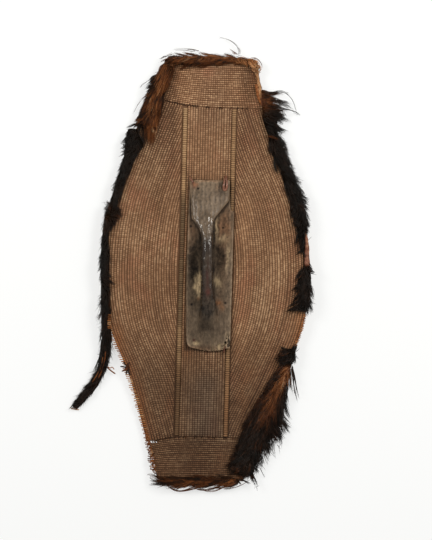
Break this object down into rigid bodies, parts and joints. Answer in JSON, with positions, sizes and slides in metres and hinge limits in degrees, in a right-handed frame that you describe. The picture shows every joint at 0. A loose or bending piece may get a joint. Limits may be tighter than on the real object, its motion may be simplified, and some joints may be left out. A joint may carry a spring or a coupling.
{
  "type": "woven cane shield with hide edging",
  "caption": "Long dished shield of woven cane rows with a carved wooden grip board on its inner face and strips of hide with hair sewn over its rim, one strip hanging loose at its end.",
  "frame": {"origin": "the middle of the flat underside that the shield lies on, under the middle of the woven panel", "axes": "+Y along the shield to its wider end, +X to the right of someone looking at the grip side, +Z out of the grip side"},
  "size_m": [0.6017, 1.104, 0.0603],
  "materials": {
    "woven_cane": "dull, aged, dusty in the grooves",
    "pale_cane": "dull, aged",
    "dark_wood": "worn, with a hand polish on the bar",
    "red_lashing": "satin",
    "black_hair": "hair with a soft sheen",
    "russet_hair": "hair with a soft sheen"
  },
  "bodies": {
    "root": {"woven_panel": "woven_cane", "bound_rod_left": "pale_cane", "bound_rod_right": "pale_cane", "handle_board": "dark_wood", "lashing_top_right": "red_lashing", "lashing_top_left": "red_lashing", "lashing_bottom_right": "red_lashing", "hide_strip_top": "russet_hair", "hide_strip_upper_left": "russet_hair", "hide_strip_left": "black_hair", "hide_strip_right": "black_hair", "hide_strip_lower_right": "black_hair", "hide_strip_bottom": "russet_hair"}
  },
  "joints": []
}
